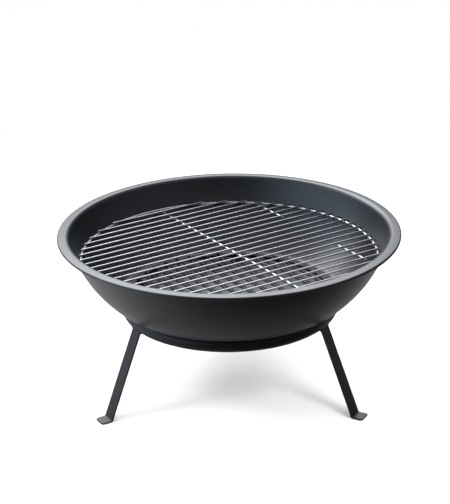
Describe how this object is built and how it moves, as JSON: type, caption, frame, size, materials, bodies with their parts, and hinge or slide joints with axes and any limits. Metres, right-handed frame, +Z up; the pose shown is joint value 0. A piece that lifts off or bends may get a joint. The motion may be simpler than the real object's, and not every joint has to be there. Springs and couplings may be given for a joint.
{
  "type": "fire pit",
  "caption": "Round steel fire bowl on a three-legged ring stand, with a lift-out wire cooking grate near its rim and a rod ember grate on its floor.",
  "frame": {"origin": "on the ground, under the centre of the bowl", "axes": "+Z up; the front, where two of the three legs show, faces -Y; +X to the right seen from the front"},
  "size_m": [0.58, 0.58, 0.295],
  "materials": {
    "bowl_paint": "semi-gloss heat-resistant black paint with a light orange peel",
    "stand_paint": "satin black paint",
    "bright_wire": "bright plated wire",
    "ember_black": "matt black"
  },
  "bodies": {
    "stand": {"stand_ring": "stand_paint", "leg_front_left": "stand_paint", "leg_front_right": "stand_paint", "leg_rear": "stand_paint"},
    "bowl": {"fire_bowl": "bowl_paint"},
    "cooking_grate": {"grate_ring": "bright_wire", "grate_wire_01": "bright_wire", "grate_wire_02": "bright_wire", "grate_wire_03": "bright_wire", "grate_wire_04": "bright_wire", "grate_wire_05": "bright_wire", "grate_wire_06": "bright_wire", "grate_wire_07": "bright_wire", "grate_wire_08": "bright_wire", "grate_wire_09": "bright_wire", "grate_wire_10": "bright_wire", "grate_wire_11": "bright_wire", "grate_wire_12": "bright_wire", "grate_wire_13": "bright_wire", "grate_wire_14": "bright_wire", "grate_wire_15": "bright_wire", "grate_wire_16": "bright_wire", "grate_wire_17": "bright_wire", "grate_wire_18": "bright_wire", "grate_wire_19": "bright_wire", "grate_wire_20": "bright_wire", "grate_wire_21": "bright_wire", "grate_wire_22": "bright_wire", "grate_wire_23": "bright_wire", "grate_wire_24": "bright_wire", "grate_cross_bar": "bright_wire", "grate_short_rod_rear": "bright_wire", "grate_short_rod_front": "bright_wire"},
    "ember_grate": {"ember_ring": "ember_black", "ember_rod_01": "ember_black", "ember_rod_02": "ember_black", "ember_rod_03": "ember_black", "ember_rod_04": "ember_black", "ember_rod_05": "ember_black", "ember_rod_06": "ember_black", "ember_rod_07": "ember_black", "ember_rod_08": "ember_black", "ember_rod_09": "ember_black", "ember_rod_10": "ember_black", "ember_rod_11": "ember_black", "ember_rod_12": "ember_black", "ember_rod_13": "ember_black", "ember_cross_bar_rear": "ember_black", "ember_cross_bar_front": "ember_black"}
  },
  "joints": [
    {"name": "bowl_lift", "type": "slide", "parent": "stand", "child": "bowl", "axis": [0, 0, 1], "range_m": [0, 0.15]},
    {"name": "cooking_grate_lift", "type": "slide", "parent": "bowl", "child": "cooking_grate", "axis": [0, 0, 1], "range_m": [0, 0.2]},
    {"name": "ember_grate_lift", "type": "slide", "parent": "bowl", "child": "ember_grate", "axis": [0, 0, 1], "range_m": [0, 0.055]}
  ]
}
